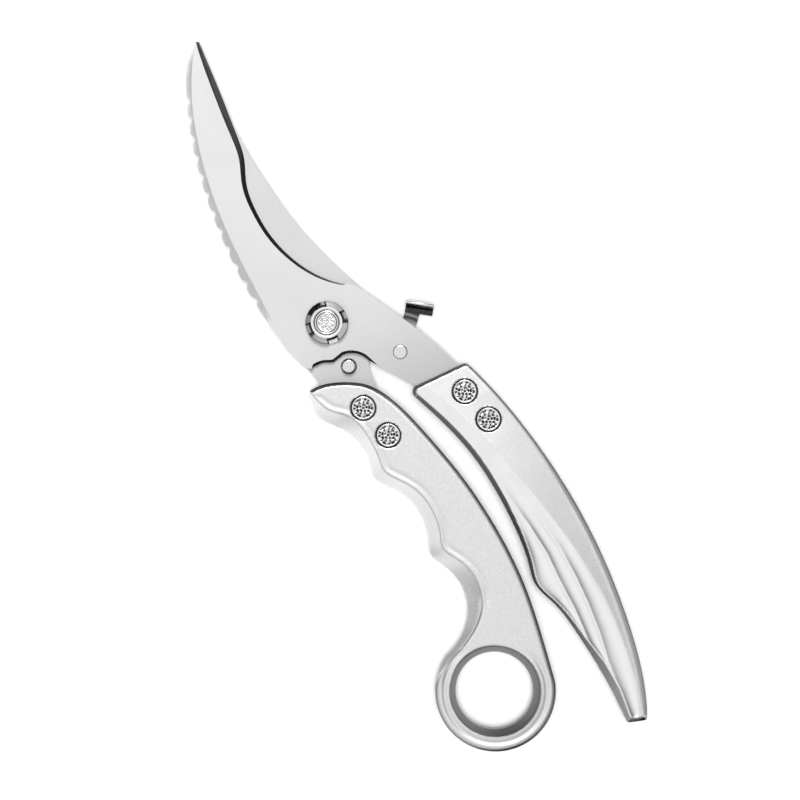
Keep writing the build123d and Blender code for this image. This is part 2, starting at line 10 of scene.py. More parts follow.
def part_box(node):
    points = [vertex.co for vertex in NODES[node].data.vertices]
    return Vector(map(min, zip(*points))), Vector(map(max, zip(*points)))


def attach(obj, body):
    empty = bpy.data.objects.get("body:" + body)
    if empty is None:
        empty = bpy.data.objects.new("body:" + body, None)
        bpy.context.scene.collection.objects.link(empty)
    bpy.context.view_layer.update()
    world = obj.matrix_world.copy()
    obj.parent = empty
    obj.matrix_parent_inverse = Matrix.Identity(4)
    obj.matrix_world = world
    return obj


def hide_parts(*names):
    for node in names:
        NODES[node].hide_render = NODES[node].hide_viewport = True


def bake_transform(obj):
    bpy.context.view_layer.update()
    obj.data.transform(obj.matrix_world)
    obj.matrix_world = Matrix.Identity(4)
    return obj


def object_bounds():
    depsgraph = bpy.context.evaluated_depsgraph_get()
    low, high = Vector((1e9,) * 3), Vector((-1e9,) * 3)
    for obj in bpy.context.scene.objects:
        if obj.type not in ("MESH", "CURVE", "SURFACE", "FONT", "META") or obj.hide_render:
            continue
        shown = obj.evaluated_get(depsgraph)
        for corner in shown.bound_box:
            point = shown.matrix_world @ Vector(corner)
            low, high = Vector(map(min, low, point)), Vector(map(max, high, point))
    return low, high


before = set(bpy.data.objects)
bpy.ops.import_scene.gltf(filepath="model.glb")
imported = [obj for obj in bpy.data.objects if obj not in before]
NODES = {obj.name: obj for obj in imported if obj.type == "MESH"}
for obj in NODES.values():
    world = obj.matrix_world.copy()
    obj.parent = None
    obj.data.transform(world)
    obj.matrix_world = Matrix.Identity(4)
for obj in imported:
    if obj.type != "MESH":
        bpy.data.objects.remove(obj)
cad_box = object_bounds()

# Named sizes are in millimetres and named angles in degrees. Blender's own are in metres and radians.
MM = 0.001
HANDLE_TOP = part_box("palm_handle")[1][2] / MM
MATE_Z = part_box("rear_blade")[1][2] / MM  # where the two blades meet
BLADE_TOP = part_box("front_blade")[1][2] / MM
LEVEL_GAP = 0.01  # points this near a height are on it


def metres(sizes):
    return tuple(size * MM for size in sizes)


def centre_of(node):
    """The middle of a node's box in plan, in millimetres."""
    low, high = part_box(node)
    return np.array([(low[0] + high[0]) / 2, (low[1] + high[1]) / 2]) / MM


# ------------------------------------------------------------------ camera
# Straight down, rolled so that the blades point up and a little to the left
CAMERA_HEIGHT = 1100.0  # above the blades
CAMERA_OFFSET = (-2.1, -3.6)  # from the middle of the shears
CAMERA_ROLL = -120
FRAME_WIDTH = 258.06  # what the picture takes in, at the blades' height
SENSOR = 36.0


def add_camera():
    middle = (Vector(cad_box[0]) + Vector(cad_box[1])) / 2
    data = bpy.data.cameras.new("camera")
    data.sensor_width = SENSOR
    data.lens = SENSOR * CAMERA_HEIGHT / FRAME_WIDTH
    camera = bpy.data.objects.new("camera", data)
    camera.location = (middle.x + CAMERA_OFFSET[0] * MM, middle.y + CAMERA_OFFSET[1] * MM,
                       (BLADE_TOP + CAMERA_HEIGHT) * MM)
    camera.rotation_euler = (0, 0, math.radians(CAMERA_ROLL))
    bpy.context.collection.objects.link(camera)
    bpy.context.scene.camera = camera


# ------------------------------------------------------------------ shader helpers
def new_material(name):
    material = bpy.data.materials.new(name)
    material.use_nodes = True
    tree = material.node_tree
    return material, tree, tree.nodes["Principled BSDF"]


def feed(tree, socket, value):
    """Sets a socket to a value, or links it to the output that is given as the value."""
    if isinstance(value, bpy.types.NodeSocket):
        tree.links.new(value, socket)
    else:
        socket.default_value = value


def add_node(tree, kind, inputs=None, **settings):
    """A new node with those settings, and with its inputs fed."""
    node = tree.nodes.new(kind)
    for key, value in settings.items():
        setattr(node, key, value)
    for key, value in (inputs or {}).items():
        feed(tree, node.inputs[key], value)
    return node


def place(tree):
    """Where a point is on the object, in metres."""
    return add_node(tree, "ShaderNodeTexCoord").outputs["Object"]


def facing(tree):
    """Which way the surface faces, with no smoothing between its faces."""
    return add_node(tree, "ShaderNodeNewGeometry").outputs["True Normal"]


def along(tree, vector):
    """A vector's X, Y and Z."""
    return add_node(tree, "ShaderNodeSeparateXYZ", {"Vector": vector}).outputs


def kept(tree, name):
    """What keep_values() kept under that name."""
    return add_node(tree, "ShaderNodeAttribute", attribute_name=name).outputs["Fac"]


def noise(tree, size, detail=3.0, rough=0.5, turn=0.0):
    """Noise with grains of about that size along X, Y and Z, turned about Z."""
    mapping = add_node(tree, "ShaderNodeMapping",
                       {"Vector": place(tree), "Rotation": (0, 0, math.radians(turn)),
                        "Scale": metres(size)}, vector_type="TEXTURE")
    grains = add_node(tree, "ShaderNodeTexNoise",
                      {"Vector": mapping.outputs["Vector"], "Scale": 1.0, "Detail": detail,
                       "Roughness": rough})
    return grains.outputs["Fac"]


def spread(tree, value, low, high, span=(0.3, 0.7)):
    """The value carried from that span, which is noise's usual one, on to low..high."""
    node = add_node(tree, "ShaderNodeMapRange",
                    {"Value": value, "From Min": span[0], "From Max": span[1],
                     "To Min": low, "To Max": high})
    return node.outputs["Result"]


def combine(tree, operation, first, *others):
    """The values taken together one by one with a Math operation."""
    for other in others:
        node = add_node(tree, "ShaderNodeMath", {0: first, 1: other}, operation=operation)
        first = node.outputs["Value"]
    return first


def curve_of(tree, value, points):
    """A smooth curve through (value, result) points."""
    node = add_node(tree, "ShaderNodeFloatCurve", {"Value": value})
    curve = node.mapping.curves[0]
    curve.points[0].location = points[0]
    curve.points[-1].location = points[-1]
    for x, y in points[1:-1]:
        curve.points.new(x, y)
    node.mapping.update()
    return node.outputs["Value"]


def grey(tree, tone):
    node = add_node(tree, "ShaderNodeCombineColor", {"Red": tone, "Green": tone, "Blue": tone})
    return node.outputs["Color"]


def make_metal(tree, shader, tone, roughness, relief, strength, depth):
    """Makes the shader a grey metal, with a relief of that strength and depth."""
    bump = add_node(tree, "ShaderNodeBump",
                    {"Height": relief, "Strength": strength, "Distance": depth * MM})
    feed(tree, shader.inputs["Base Color"], grey(tree, tone))
    feed(tree, shader.inputs["Roughness"], roughness)
    feed(tree, shader.inputs["Metallic"], 1.0)
    feed(tree, shader.inputs["Normal"], bump.outputs["Normal"])


# ------------------------------------------------------------------ materials
# Painted shade on a blade by how far its surface faces up or down: its cutting bevels are painted dark
BLADE_FACING_SHADE = [(0, 0.35), (0.12, 0.3), (0.22, 0.05), (0.5, 0.06), (0.74, 0.07), (0.82, 0.7),
               (0.92, 0.95), (1, 1)]
SPINE_PAINTED_LIGHT = 1.25  # painted light: how light the steep faces along the spine are
SPINE_FACING = (0.1, 0.25)  # how far a face turns to the spine's side before it counts as one
SPINE_X = (1, 3)  # where the spine's painted light begins, just ahead of the pivot
TANG_SHADE_X = (-34, -5)  # painted shade: the blades darken behind the second, and are darkest behind the first
GRIND_SIZE = (0.14, 7.0, 7.0)  # how far apart the grinding lines are, and how long
GRIND_TURN = 72
TURNED_SIZE = (0.5, 0.5, 0.12)  # of the marks that turning leaves
GRAIN_SIZE = (0.42, 0.42, 0.42)  # of the blasted surface


def ground_steel(name, tone, tang_shade, spine_side):
    """Satin steel with fine grinding lines; painted shade darkens it towards the tangs and on steep
    faces such as the cutting bevel, and painted light lightens the steep faces along the spine.
    spine_side is 1 or -1, the side along Y that the blade's spine is on."""
    material, tree, shader = new_material(name)
    lines = noise(tree, GRIND_SIZE, 4.0, 0.6, GRIND_TURN)
    cloud = noise(tree, (16, 16, 16), 2.0)
    x = along(tree, place(tree))["X"]
    normal = along(tree, facing(tree))
    level = combine(tree, "ABSOLUTE", normal["Z"], 0.0)
    # Painted light on the spine's steep faces, and painted shade by facing and towards the tangs
    spine = combine(tree, "MULTIPLY",
                    spread(tree, normal["Y"], 0.0, SPINE_PAINTED_LIGHT, [n * spine_side for n in SPINE_FACING]),
                    spread(tree, x, 0.0, 1.0, metres(SPINE_X)))
    slope = combine(tree, "MAXIMUM", curve_of(tree, level, BLADE_FACING_SHADE), spine)
    shade = combine(tree, "MULTIPLY", spread(tree, cloud, tone - 0.015, tone + 0.015), slope,
                    spread(tree, x, tang_shade, 1.0, metres(TANG_SHADE_X)),
                    spread(tree, lines, 0.965, 1.035))
    make_metal(tree, shader, shade, spread(tree, lines, 0.42, 0.50), lines, 0.14, 0.02)
    return material


def turned_steel(name, tone=0.80, roughness=0.2, with_painted_shade=False):
    """Steel turned on a lathe, with fine uneven marks, and, when asked, with the painted shade that
    the mesh keeps for each point."""
    material, tree, shader = new_material(name)
    marks = noise(tree, TURNED_SIZE)
    shade = spread(tree, marks, tone - 0.06, tone + 0.05)
    # Painted shade that the mesh keeps for each point
    if with_painted_shade:
        shade = combine(tree, "MULTIPLY", shade, kept(tree, "painted_shade"))
    rough = spread(tree, marks, roughness - 0.05, roughness + 0.08)
    make_metal(tree, shader, shade, rough, marks, 0.1, 0.03)
    return material


def cast_metal():
    """Cast alloy: a fine blasted grain, polished where the mesh's polish attribute says, with the
    painted shade that the mesh keeps for each point.
    """
    material, tree, shader = new_material("cast_alloy")
    grain = noise(tree, GRAIN_SIZE, 3.0, 0.6)
    cloud = noise(tree, (9, 9, 9))
    polish = kept(tree, "polish")
    dull = combine(tree, "SUBTRACT", 1.0, polish)
    blasted = combine(tree, "MULTIPLY", spread(tree, grain, 0.71, 0.85), dull)
    polished = combine(tree, "MULTIPLY", spread(tree, cloud, 0.91, 0.94), polish)
    # Painted shade that the mesh keeps for each point
    shade = combine(tree, "MULTIPLY", combine(tree, "ADD", blasted, polished), kept(tree, "painted_shade"))
    blasted_rough = combine(tree, "MULTIPLY", spread(tree, grain, 0.32, 0.42), dull)
    polished_rough = combine(tree, "MULTIPLY", spread(tree, cloud, 0.20, 0.26), polish)
    rough = combine(tree, "ADD", blasted_rough, polished_rough)
    relief = combine(tree, "MULTIPLY", grain, spread(tree, dull, 0.1, 1.0, (0, 1)))
    make_metal(tree, shader, shade, rough, relief, 0.35, 0.04)
    return material


# Painted light on the lock lever's stem, by distance from its rivet: pale by the blade, with one more
# pale band
STEM_PALE = (9.6, 11.6)
BAND_START = (11.9, 12.2)
BAND_END = (12.8, 13.2)
STEM_Z = 2.0  # the height that those distances start from
HIGHLIGHT_DEPTH = (0.6, 0.2)  # below the thumb pad's top: where the painted highlight begins, and where it is full


def lever_steel_painted_dark():
    """Sheet steel coloured dark as painted shade, with a painted highlight along the top edge of the
    thumb pad and painted light by the blade and in one more band along the stem.
    """
    material, tree, shader = new_material("lever_steel_painted_dark")
    marks = noise(tree, (0.4, 2.0, 0.4))
    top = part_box("lock_lever")[1][2]
    # Painted highlight along the thumb pad's top edge
    pad_highlight = spread(tree, along(tree, place(tree))["Z"], 0.0, 0.8,
                  [top - depth * MM for depth in HIGHLIGHT_DEPTH])
    axis = metres((*centre_of("lock_rivet"), STEM_Z))
    reach = add_node(tree, "ShaderNodeVectorMath", {0: place(tree), 1: axis},
                     operation="DISTANCE").outputs["Value"]
    # Painted light on the stem by the blade and in one more band
    pale = spread(tree, reach, 0.42, 0.0, metres(STEM_PALE))
    band = combine(tree, "MULTIPLY", spread(tree, reach, 0.0, 1.0, metres(BAND_START)),
                   spread(tree, reach, 0.20, 0.0, metres(BAND_END)))
    shade = combine(tree, "ADD", spread(tree, marks, 0.03, 0.08), pad_highlight, pale, band)
    make_metal(tree, shader, shade, spread(tree, marks, 0.16, 0.30), marks, 0.1, 0.03)
    return material


# ------------------------------------------------------------------ mesh helpers
WELD_REACH = 0.002  # points this close are one


def link(obj, body):
    bpy.context.collection.objects.link(obj)
    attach(obj, body)


def ease_edges(obj, width):
    """Breaks an object's sharp edges, so that they catch the light."""
    weld = obj.modifiers.new("weld", "WELD")
    weld.merge_threshold = WELD_REACH * MM
    ease = obj.modifiers.new("ease", "BEVEL")
    ease.width = width * MM
    ease.segments = 2
    ease.limit_method = "ANGLE"
    ease.angle_limit = math.radians(32)
    ease.harden_normals = True


def evaluated_mesh(obj):
    """The mesh of an object with its modifiers applied. The object itself is removed."""
    bpy.context.collection.objects.link(obj)
    bpy.context.view_layer.update()
    graph = bpy.context.evaluated_depsgraph_get()
    mesh = bpy.data.meshes.new_from_object(obj.evaluated_get(graph))
    bpy.data.objects.remove(obj)
    mesh.materials.clear()
    mesh.shade_smooth()
    return mesh


def get_points(mesh):
    """The mesh's points, in millimetres."""
    points = np.empty(len(mesh.vertices) * 3)
    mesh.vertices.foreach_get("co", points)
    return points.reshape(-1, 3) / MM


def set_points(mesh, points):
    mesh.vertices.foreach_set("co", (points * MM).ravel())
    mesh.update()


def keep_values(mesh, name, values):
    """Keeps one number for each point of the mesh, for its material to read."""
    mesh.attributes.new(name, "FLOAT", "POINT").data.foreach_set("value", values)


def step(values, start, end):
    """A smooth step from 0 at start to 1 at end, which may be below start."""
    share = np.clip((values - start) / (end - start), 0, 1)
    return share * share * (3 - 2 * share)


def hump(values, middle, width):
    """1 at the middle, falling smoothly to almost 0 at twice the width away."""
    return np.exp(-((values - middle) / width) ** 2)


def dense(start, end, spacing):
    """Points along a straight part of an outline, its far end left out."""
    count = max(1, round(math.dist(start, end) / spacing))
    return [(start[0] + (end[0] - start[0]) * i / count,
             start[1] + (end[1] - start[1]) * i / count) for i in range(count)]


def turned_mesh(name, outline, segments, relief=None, centre=(0, 0), flip=False):
    """A closed solid turned from an outline of (radius, z) points that starts and ends at
    radius 0, or closes on itself. relief gives extra z for the points it is called with."""
    builder = bmesh.new()
    rings = []
    for radius, z in outline:
        angles = np.arange(segments if radius else 1) * 2 * math.pi / segments
        rise = relief(radius, angles, z) if relief else np.zeros(len(angles))
        ring = []
        for angle, extra in zip(angles, rise):
            height = HANDLE_TOP - (z + extra) if flip else z + extra
            ring.append(builder.verts.new(metres((centre[0] + radius * math.cos(angle),
                                                  centre[1] + radius * math.sin(angle), height))))
        rings.append(ring)
    pairs = list(zip(rings, rings[1:]))
    if outline[0][0] > 0:
        pairs.append((rings[-1], rings[0]))
    for above, below in pairs:
        for i in range(segments):
            j = (i + 1) % segments
            corners = [above[i % len(above)], below[i % len(below)],
                       below[j % len(below)], above[j % len(above)]]
            builder.faces.new(list(dict.fromkeys(corners)))
    bmesh.ops.recalc_face_normals(builder, faces=builder.faces)
    mesh = bpy.data.meshes.new(name)
    builder.to_mesh(mesh)
    builder.free()
    mesh.shade_smooth()
    return bpy.data.objects.new(name, mesh)


def sharpen(obj, angle):
    """Marks the edges over that angle sharp, so that flat faces shade flat."""
    obj.data.set_sharp_from_angle(angle=math.radians(angle))


def dimples(radius, angles, rings, size, depth):
    """Depth of small round dimples that stand in rings of (radius, count, phase)."""
    total = np.zeros(len(angles))
    for at, count, phase in rings:
        turn = (angles * count / (2 * math.pi) + phase) % 1.0 - 0.5
        across = turn * 2 * math.pi * at / count
        total -= depth * np.exp(-((radius - at) ** 2 + across ** 2) / size ** 2)
    return total


# ------------------------------------------------------------------ both handles
RIVET_R = 4.0  # of the rivets' heads; their holes in the handles are 0.1 wider
SEAM = 0.12  # gap round each rivet head
MOUTH_BAND = (-0.2, 0.4)  # points this far outside a rivet's head are on its socket's wall
MOUTH_RISE = 4.0  # the sockets' mouths are further than this from the handle's middle
EDGE_R = 1.0  # the CAD edge's radius, which the shaped faces replace
SNAP_DEPTH = 0.3  # how far below the old surface a point still belongs to it
HANDLE_VOXEL = 0.36
BORDER_STEP = 0.25
FRONT_SLOPE = 0.85  # of the chamfer along the handles' front edges
FRONT_WIDTH = 1.15
FRONT_FADE = 0.3  # over which that chamfer's painted shade fades in


def fine_copy(node, name):
    """A fine even mesh of a CAD node's shape, with its edges eased, as a new object."""
    obj = bpy.data.objects.new(name, NODES[node].data.copy())
    remesh = obj.modifiers.new("fine", "REMESH")
    remesh.mode = "VOXEL"
    remesh.voxel_size = HANDLE_VOXEL * MM
    ease = obj.modifiers.new("ease", "SMOOTH")
    ease.factor = 0.5
    ease.iterations = 2
    mesh = evaluated_mesh(obj)
    mesh.name = name
    return bpy.data.objects.new(name, mesh)


def border_edges(node):
    """The edges round a node's flat top, its holes' too, as pairs of (x, y, z) places."""
    mesh = NODES[node].data
    points = get_points(mesh)
    keys = [tuple(np.round(p, 3)) for p in points]
    edges = {}
    for face in mesh.polygons:
        if face.normal.z > 0.999 and abs(points[face.vertices[0]][2] - HANDLE_TOP) < LEVEL_GAP:
            corners = [keys[v] for v in face.vertices]
            for pair in zip(corners, corners[1:] + corners[:1]):
                if pair[::-1] in edges:
                    del edges[pair[::-1]]
                else:
                    edges[pair] = True
    return edges


def top_border(node):
    """The outer border of a node's flat top: points a little apart, with outward normals."""
    holes = [(centre_of(stud), RIVET_R + 0.5) for stud in NODES if stud.endswith("stud")]
    holes.append((RING_CENTRE, RING_HOLE_REACH))
    places, normals = [], []
    for first, second in border_edges(node):
        start, end = np.array(first[:2]), np.array(second[:2])
        span = end - start
        length = np.hypot(*span)
        if length < 1e-6 or any(math.dist(start, centre) < reach for centre, reach in holes):
            continue
        count = max(1, round(length / BORDER_STEP))
        for i in range(count):
            places.append(start + span * (i + 0.5) / count)
            normals.append((span[1] / length, -span[0] / length))
    return np.array(places), np.array(normals)


def inside_border(points, places, normals):
    """How far inside the handle's own outline each point is, and the outward normal there."""
    tree = KDTree(len(places))
    for i, (x, y) in enumerate(places):
        tree.insert((x, y, 0), i)
    tree.balance()
    nearest = np.array([tree.find((x, y, 0))[1] for x, y in points[:, :2]])
    away = points[:, :2] - places[nearest]
    depth = -(away * normals[nearest]).sum(axis=1)
    distance = np.hypot(away[:, 0], away[:, 1])
    return np.where(depth < 0, -distance, distance) + EDGE_R, normals[nearest]


def round_over(inset, width, angle):
    """The drop of an edge rounded over that width, up to that slope."""
    radius = width / np.sin(np.radians(angle))
    reach = np.clip(width - inset, 0, width)
    return radius - np.sqrt(radius ** 2 - reach ** 2)


def reshape_faces(points, inset, drop):
    """Lowers the top by drop, raises the underside alike, and keeps the middle."""
    half = HANDLE_TOP / 2
    arc = np.clip(EDGE_R - inset, 0, EDGE_R)
    old = half - (EDGE_R - np.sqrt(EDGE_R ** 2 - arc ** 2))
    height = points[:, 2] - half
    on_face = np.abs(height) > old - SNAP_DEPTH
    shaped = points.copy()
    shaped[:, 2] = half + np.where(on_face, np.sign(height) * (half - drop),
                                   height * (half - drop) / old)
    return shaped


def clear_rivets(points, body):
    """Rounds the mouths of the rivet sockets, a little clear of the heads."""
    for node in NODES:
        if node.startswith(body) and node.endswith("stud"):
            centre = centre_of(node)
            away = points[:, :2] - centre
            reach = np.maximum(np.hypot(away[:, 0], away[:, 1]), 1e-6)
            wall = (reach - RIVET_R > MOUTH_BAND[0]) & (reach - RIVET_R < MOUTH_BAND[1])
            near = wall & (np.abs(points[:, 2] - MATE_Z) > MOUTH_RISE)
            scale = np.where(near, (RIVET_R + SEAM) / reach, 1.0)
            points[:, :2] = centre + away * scale[:, None]
    return points


def finish_handle(obj, points, node, polish, painted_shade, material):
    """Gives a handle its points, its look with its painted shade, and the rivets' seams."""
    set_points(obj.data, clear_rivets(points, node.split("_")[0]))
    keep_values(obj.data, "polish", polish)
    keep_values(obj.data, "painted_shade", painted_shade)
    obj.data.materials.append(material)


# ------------------------------------------------------------------ ring handle
RING_CENTRE = (-130.0, 12.25)  # the middle of the finger ring
RING_HOLE_REACH = 15.2  # border points nearer than this to its middle are the hole's
HOLE_R = 14.6  # inside it the metal is the hole's wall
LIP_R = 14.95  # the hole's rounded lip
CHANNEL_R, CHANNEL_WIDTH, CHANNEL_DEPTH = 16.5, 0.7, 0.28  # round the ring's face, beside its bead
HOLLOW_INSET, HOLLOW_WIDTH, HOLLOW_DEPTH = 1.7, 0.75, 0.14  # along the finger grooves
CREASE_R, CREASE_WIDTH = 17.45, 0.28  # where the groove's border of painted shade runs on round the finger ring
HEEL_ANGLE = 165  # the side of the ring away from the handle
RING_EDGE = (1.8, 48)  # width and slope of the rounded outer edges


def round_ring(points):
    """Each point's distance from the finger ring's middle, and its angle about it."""
    x, y = points[:, 0] - RING_CENTRE[0], points[:, 1] - RING_CENTRE[1]
    return np.hypot(x, y), np.degrees(np.arctan2(y, x))


def finger_side(x, normal):
    """1 along the four finger grooves."""
    return step(normal[:, 1], 0.0, 0.3) * step(x, -119, -115)


def ring_front(x, normal):
    """1 along the ring handle's front edge, where the blade enters it."""
    return step(normal[:, 0], 0.25, 0.6) * step(x, -40, -26)


def ring_drop(points, inset, normal):
    """How far the ring handle's faces sink below level."""
    x = points[:, 0]
    radius, angle = round_ring(points)
    angle = angle % 360
    grooved = finger_side(x, normal) * step(normal[:, 0], 0.7, 0.4)
    front = ring_front(x, normal) * (1 - grooved)
    drop = round_over(inset, *RING_EDGE) * (1 - grooved) * (1 - front)
    drop += front * FRONT_SLOPE * np.clip(FRONT_WIDTH - inset, 0, None)
    drop += HOLLOW_DEPTH * hump(inset - EDGE_R, HOLLOW_INSET, HOLLOW_WIDTH) * grooved
    channel = step(angle, 0, 25) * (1 - step(angle, 268, 298))
    return drop + CHANNEL_DEPTH * hump(radius, CHANNEL_R, CHANNEL_WIDTH) * channel


def ring_crease(x, radius, angle, inset, grooved):
    """1 on the thin border of painted shade that runs from the last finger groove on to the ring."""
    on_ring = step(angle, 4, 10) * step(x, -108, -112)
    groove = hump(inset - EDGE_R, 0.1, 0.3) * grooved * (1 - on_ring) * step(x, -100, -107)
    ring = on_ring * hump(radius, CREASE_R, CREASE_WIDTH) * (1 - step(angle, 36, 64))
    return np.maximum(groove, ring)


def ring_painted_shade(points, inset, normal, grooved):
    """Painted shade on the ring handle's metal: darker in the hole, on the grooves' bevel, along the
    outer edges, on the front chamfer, round the hole's lip and in the crease."""
    x = points[:, 0]
    radius, angle = round_ring(points)
    from_heel = (angle - HEEL_ANGLE + 180) % 360 - 180
    hole = step(radius, LIP_R, HOLE_R)
    bore = 0.27 - 0.14 * hump(from_heel, 0, 38)
    lip = hump(radius, LIP_R, 0.25) * hump(angle, 0, 30)
    bevel = grooved * step(inset - EDGE_R, -0.1, -0.5) * (1 - hole)
    bevel_tone = np.interp(x, [-116, -110, -103, -94], [0.42, 0.42, 0.74, 1.0])
    heel = hump(from_heel, 0, 34) * step(x, -110, -120)
    edge = (1 - grooved) * step(inset, 0.6 + 0.35 * heel, 0.2 + 0.25 * heel) * (1 - hole)
    front = ring_front(x, normal) * (1 - grooved) * step(FRONT_WIDTH - inset, 0, FRONT_FADE)
    painted_shade = (1 - 0.6 * front) * (1 - hole * (1 - bore)) * (1 - bevel * (1 - bevel_tone))
    painted_shade *= (1 - (0.6 + 0.32 * heel) * edge) * (1 - 0.55 * lip)
    return painted_shade * (1 - 0.55 * ring_crease(x, radius, angle, inset, grooved))


def ring_handle(material):
    """The ring handle. Its finger grooves keep the CAD's rounded edge, and the rest is shaped."""
    obj = fine_copy("ring_handle", "ring_handle_cast")
    points = get_points(obj.data)
    inset, normal = inside_border(points, *top_border("ring_handle"))
    drop = ring_drop(points, inset, normal)
    grooved = finger_side(points[:, 0], normal)
    painted_shade = ring_painted_shade(points, inset, normal, grooved)
    shaped = reshape_faces(points, inset, drop)
    lowered = points.copy()
    half = HANDLE_TOP / 2
    lowered[:, 2] = half + (points[:, 2] - half) * (half - drop) / half
    share = grooved[:, None]
    points = shaped * (1 - share) + lowered * share
    finish_handle(obj, points, "ring_handle", np.zeros(len(points)), painted_shade, material)
    link(obj, "ring_side")
    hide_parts("ring_handle")


# ------------------------------------------------------------------ palm handle
# The flutes: the crest lines between them, as y at each x
CREST_X = [-162, -150, -140, -130, -120, -110, -100, -90, -75, -60, -45, -34]
MATT_LINE = [-24.3, -28.3, -30.7, -32.3, -33.3, -33.3, -32.7, -31.5, -29.2, -26.2, -21.6, -17.5]
LOW_CREST = [-21.0, -22.7, -23.9, -26.2, -27.7, -28.6, -28.8, -28.0, -26.0, -23.6, -19.8, -16.5]
HIGH_CREST = [-20.0, -20.6, -21.3, -21.9, -23.0, -23.4, -24.2, -23.9, -22.8, -21.6, -18.6, -15.5]
FLUTE_FADES = [(-78, -100), (-66, -98), (-84, -116)]  # where each flute begins, and is full
FLUTE_DEPTH = 0.50
CREST_GAP = 0.01  # the least distance between two crests
# The chamfer on the inner side, towards the ring handle: its width at each x
SIDE_X = [-162, -158, -150, -140, -130, -120, -112, -108, -100, -90, -75, -60, -45, -33]
SIDE_WIDTH = [1.6, 1.7, 2.4, 2.4, 1.4, 1.1, 0.8, 0.8, 1.1, 1.3, 1.5, 1.6, 1.5, 1.2]
PALM_EDGE = 1.3  # width of the rounded edge on the outer side
RIDGE_INSET, RIDGE_WIDTH, RIDGE_RISE = 1.7, 0.45, 0.10  # a faint ridge inside that edge


def palm_crests(points, side, places, normals):
    """The y of each flute's border at each point, from the inner chamfer to the matt part."""
    x = points[:, 0]
    upper = normals[:, 1] > 0.25
    order = np.argsort(places[upper][:, 0])
    edge = np.interp(x, places[upper][order, 0], places[upper][order, 1]) + EDGE_R
    crests = [edge - side * 1.1]
    for line in (HIGH_CREST, LOW_CREST, MATT_LINE):
        crests.append(np.minimum(np.interp(x, CREST_X, line), crests[-1] - CREST_GAP))
    return crests


def palm_drop(points, inset, inner, front, side, crests):
    """How far the palm handle's faces sink below level."""
    x, y = points[:, 0], points[:, 1]
    drop = inner * np.interp(x, [-150, -130], [0.60, 0.80]) * np.clip(side - inset, 0, None)
    slant = np.interp(x, [-150, -110, -60, -40], [18, 21, 37, 46])
    drop += (1 - inner) * (1 - front) * round_over(inset, PALM_EDGE, slant)
    drop += (1 - inner) * front * FRONT_SLOPE * np.clip(FRONT_WIDTH - inset, 0, None)
    for above, below, fade in zip(crests, crests[1:], FLUTE_FADES):
        width = above - below
        share = np.clip((above - y) / width, 0, 1)
        drop += FLUTE_DEPTH * step(x, *fade) * np.clip(width / 4, 0, 1) * 4 * share * (1 - share)
    fall = np.clip(crests[-1] - y, 0, None)
    drop += np.interp(x, [-150, -120, -90, -45], [0.10, 0.13, 0.13, 0.05]) * fall * step(fall, 0, 0.6)
    drop -= RIDGE_RISE * hump(inset, RIDGE_INSET, RIDGE_WIDTH) * (1 - inner) * step(x, -60, -90)
    return np.maximum(drop, 0)


def palm_polish(points, inset, side, matt):
    """1 where the palm handle is polished, which is its fluted part."""
    x, y = points[:, 0], points[:, 1]
    fluted = step(y - matt, -0.2, 0.3)
    return np.maximum(fluted, 0.75 * step(x, -62, -36)) * step(side - inset, 0.2, -0.1)


def palm_painted_shade(points, inset, normal, inner, front, side, polished):
    """Painted shade on the palm handle's metal: darker along its chamfers, towards the back of its
    matt part and at its tail.
    """
    x, y = points[:, 0], points[:, 1]
    band = inner * step(side - inset, -0.15, 0.15)
    painted_shade = 1 - band * np.interp(x, [-150, -130, -110, -90, -70, -45],
                                [0.20, 0.45, 0.82, 0.82, 0.68, 0.62])
    painted_shade *= 1 - 0.13 * (1 - polished) * step(x, -50, -95)
    painted_shade *= 1 - 0.55 * front * (1 - inner) * step(FRONT_WIDTH - inset, 0, FRONT_FADE)
    tail = step(normal[:, 0], -0.6, -0.8) * step(x, -150, -154) * step(inset, 1.0, 0.8)
    return painted_shade * (1 - tail * np.interp(y, [-24.2, -22.6], [0.95, 0.5]))


def palm_handle(material):
    obj = fine_copy("palm_handle", "palm_handle_cast")
    points = get_points(obj.data)
    places, normals = top_border("palm_handle")
    inset, normal = inside_border(points, places, normals)
    side = np.interp(points[:, 0], SIDE_X, SIDE_WIDTH)
    inner = step(normal[:, 1], 0.0, 0.45)
    front = step(normal[:, 0], 0.5, 0.85)
    crests = palm_crests(points, side, places, normals)
    polished = palm_polish(points, inset, side, crests[-1])
    painted_shade = palm_painted_shade(points, inset, normal, inner, front, side, polished)
    drop = palm_drop(points, inset, inner, front, side, crests)
    points = reshape_faces(points, inset, drop)
    finish_handle(obj, points, "palm_handle", polished, painted_shade, material)
    link(obj, "palm_side")
    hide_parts("palm_handle")


# ------------------------------------------------------------------ front blade
PATH_LOW, PATH_HIGH = (-17.4, -5.8), (-9.7, 11.5)  # round the stop pin's path, in plan
PATH_CHAMFER = 0.85
PATH_DEPTH = 1.8


def on_path(vert):
    """Whether a point of the blade's top face is on its border along the stop pin's path."""
    x, y, z = vert.co / MM
    return (abs(z - BLADE_TOP) < LEVEL_GAP and PATH_LOW[0] < x < PATH_HIGH[0]
            and PATH_LOW[1] < y < PATH_HIGH[1])


